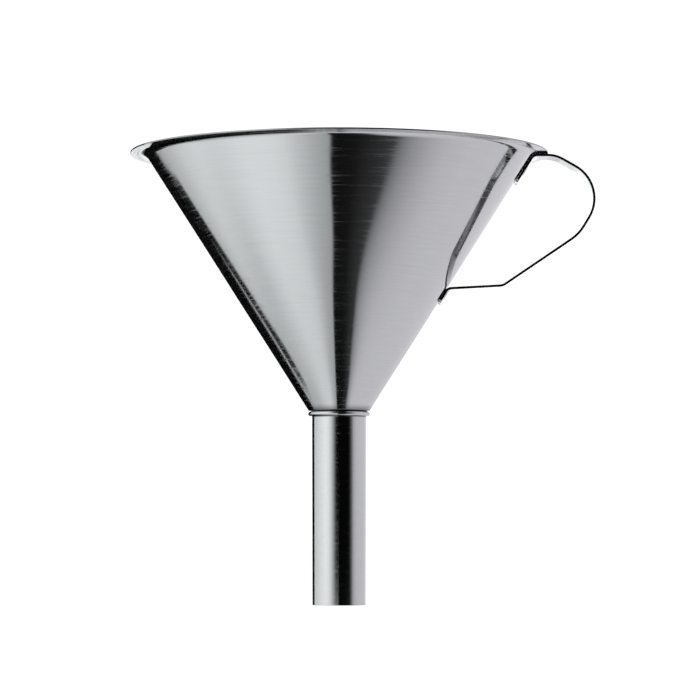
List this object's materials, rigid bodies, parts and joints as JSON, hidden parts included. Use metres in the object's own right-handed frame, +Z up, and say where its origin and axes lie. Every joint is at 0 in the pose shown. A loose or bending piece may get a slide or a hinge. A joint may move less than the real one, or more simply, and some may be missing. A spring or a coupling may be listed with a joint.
{
  "type": "filling funnel",
  "caption": "Stainless-steel filling funnel: brushed conical bowl with a flat rim flange, a plain tube spout folded on at the neck, and a welded strap handle.",
  "frame": {"origin": "on the funnel's axis, at the underside of the folded seam where the spout meets the bowl", "axes": "+Z up along the axis towards the rim, +X towards the handle, +Y away from the picture's camera"},
  "size_m": [0.1334, 0.12, 0.1294],
  "materials": {
    "bowl_steel": "satin",
    "spout_steel": "gloss",
    "handle_steel": "satin",
    "weld_steel": "satin"
  },
  "bodies": {
    "root": {"bowl": "bowl_steel", "spout": "spout_steel", "handle": "handle_steel", "upper_weld_front": "weld_steel", "upper_weld_rear": "weld_steel", "lower_weld_front": "weld_steel", "lower_weld_rear": "weld_steel"}
  },
  "joints": []
}
